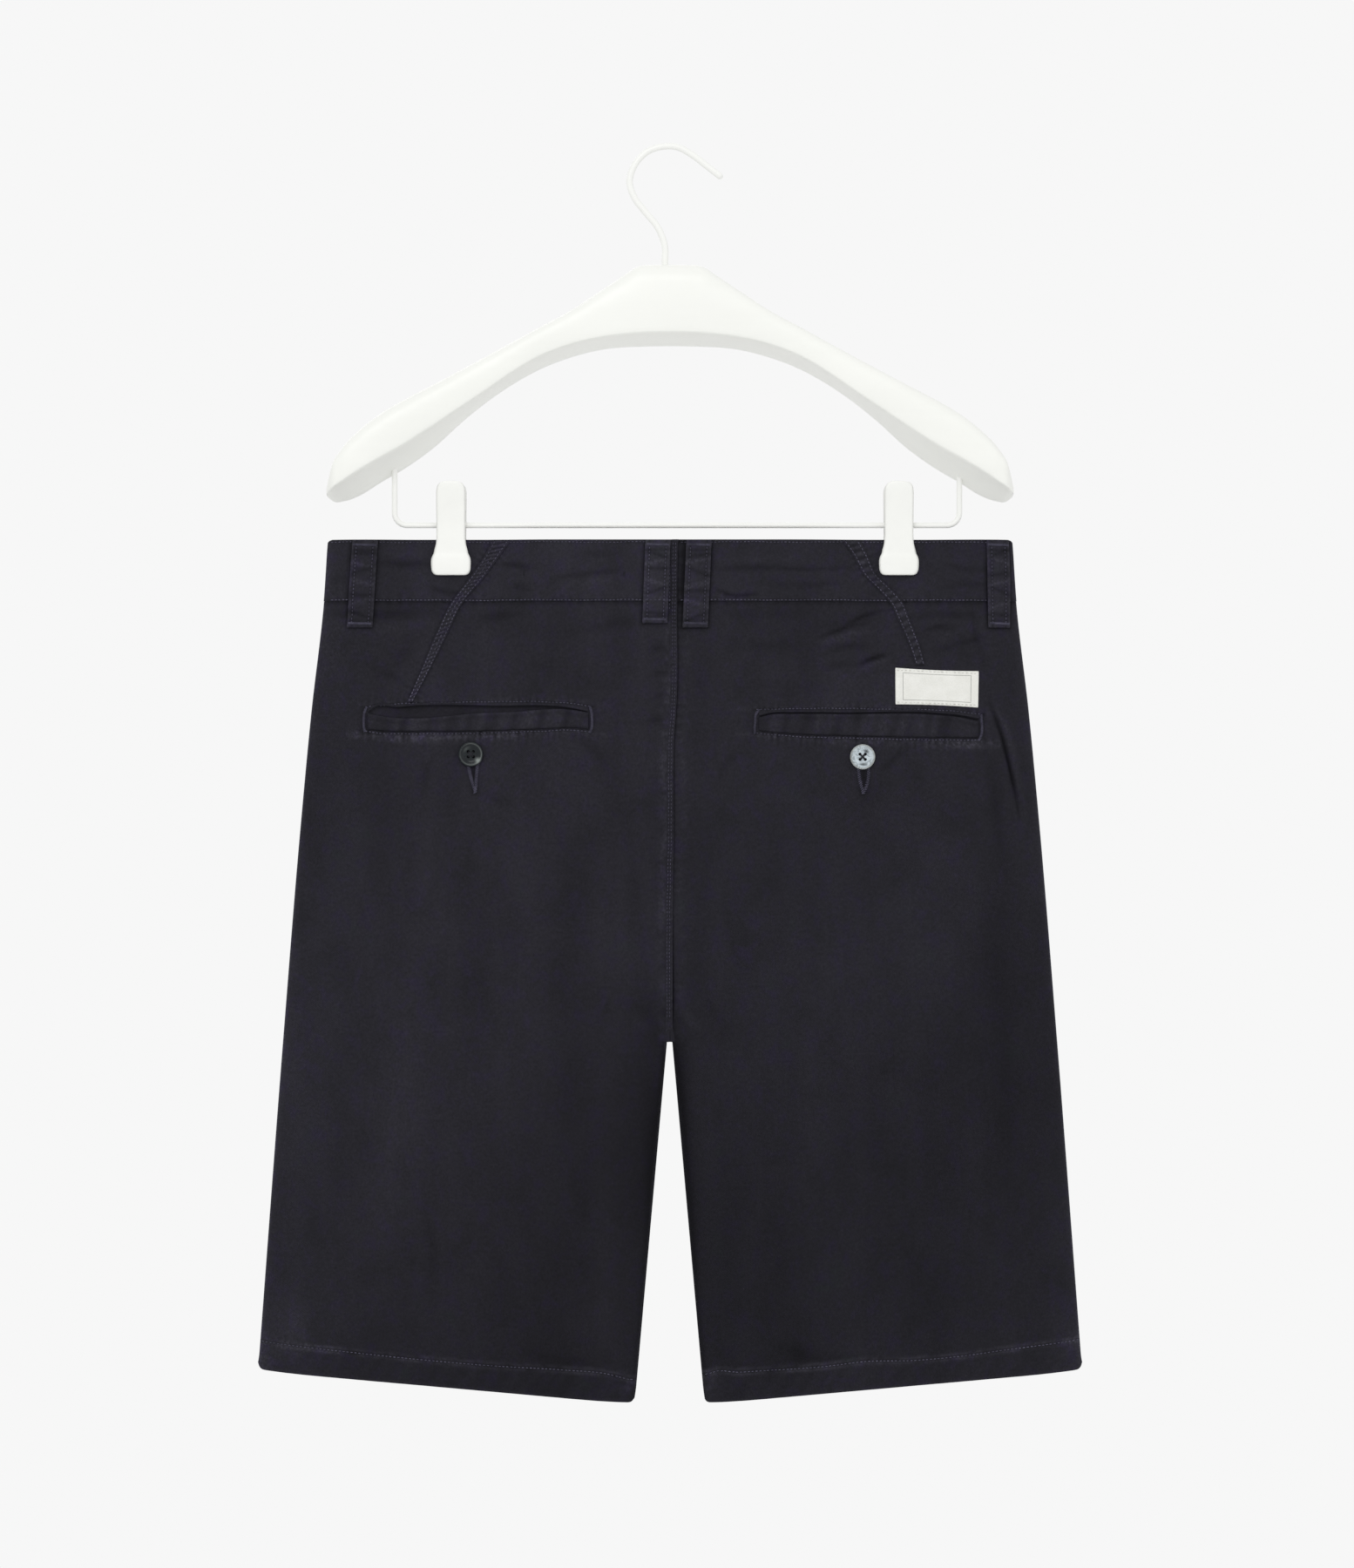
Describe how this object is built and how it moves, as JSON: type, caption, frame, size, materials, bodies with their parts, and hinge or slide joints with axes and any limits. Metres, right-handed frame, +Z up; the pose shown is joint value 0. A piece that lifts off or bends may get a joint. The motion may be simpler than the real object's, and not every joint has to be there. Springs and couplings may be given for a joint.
{
  "type": "bermuda shorts on a clip hanger",
  "caption": "Knee-length cotton twill shorts with welt back pockets, belt loops and a fly, hung flat by the waistband from a wide hanger with a wire bar and sliding clips.",
  "frame": {"origin": "inside top of the hanger's hook, where a rail carries it", "axes": "+Z up; -Y the way the back of the shorts faces; -X to the left of someone who looks at the back of the shorts"},
  "size_m": [0.536, 0.0419, 0.8193],
  "materials": {
    "navy_twill": "garment-dyed cotton twill",
    "label_tape": "woven tape",
    "button_resin": "polished, marbled",
    "white_wood": "white lacquer, satin",
    "white_wire": "white coating, satin",
    "white_plastic": "moulded, semi-gloss"
  },
  "bodies": {
    "root": {"bar": "white_wire", "belt_loop_back_centre_left": "navy_twill", "belt_loop_back_centre_right": "navy_twill", "belt_loop_back_outer_left": "navy_twill", "belt_loop_back_outer_right": "navy_twill", "belt_loop_front_left": "navy_twill", "belt_loop_front_right": "navy_twill", "button_back_left": "button_resin", "button_back_right": "button_resin", "button_waist": "button_resin", "centre_back_seam": "navy_twill", "clip_left_back": "white_plastic", "clip_left_front": "white_plastic", "clip_left_spring": "white_wire", "clip_right_back": "white_plastic", "clip_right_front": "white_plastic", "clip_right_spring": "white_wire", "diagonal_seam_left": "navy_twill", "diagonal_seam_right": "navy_twill", "fly": "navy_twill", "hanger_body": "white_wood", "hook": "white_wire", "label": "label_tape", "panel_back_left": "navy_twill", "panel_back_right": "navy_twill", "panel_front_left": "navy_twill", "panel_front_right": "navy_twill", "pocket_lip_left": "navy_twill", "pocket_lip_right": "navy_twill", "pocket_welt_left": "navy_twill", "pocket_welt_right": "navy_twill", "waistband_back_left": "navy_twill", "waistband_back_right": "navy_twill", "waistband_front_left": "navy_twill", "waistband_front_right": "navy_twill"}
  },
  "joints": []
}
